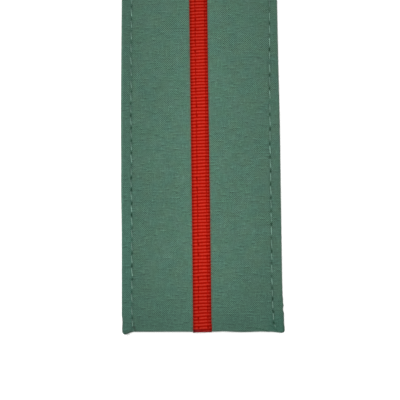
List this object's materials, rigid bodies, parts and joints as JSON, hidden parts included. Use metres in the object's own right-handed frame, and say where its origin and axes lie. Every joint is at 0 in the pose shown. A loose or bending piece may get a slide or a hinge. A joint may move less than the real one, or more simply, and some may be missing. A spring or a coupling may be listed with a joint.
{
  "type": "shoulder board",
  "caption": "Stiff cloth-covered shoulder board with a sewn ribbon down its middle, stitched edges, a domed button and a strap on the back for a garment's shoulder loop.",
  "frame": {"origin": "middle of the board's box, on the surface that it rests on, under the strap", "axes": "+Y towards the collar end, +X towards the right edge as the picture shows it, +Z out of the face"},
  "size_m": [0.0504, 0.1412, 0.0098],
  "materials": {
    "face_cloth": "grey-green plain weave, matte",
    "ribbon": "red grosgrain with fine cross ribs, slight sheen",
    "back_cloth": "grey-green plain weave, matte",
    "strap_cloth": "grey-green plain weave, matte, stitched edges",
    "button_metal": "satin brass"
  },
  "bodies": {
    "root": {"cloth_cover": "face_cloth", "stripe_ribbon": "ribbon", "back_cloth": "back_cloth", "under_strap": "strap_cloth", "button": "button_metal"}
  },
  "joints": []
}
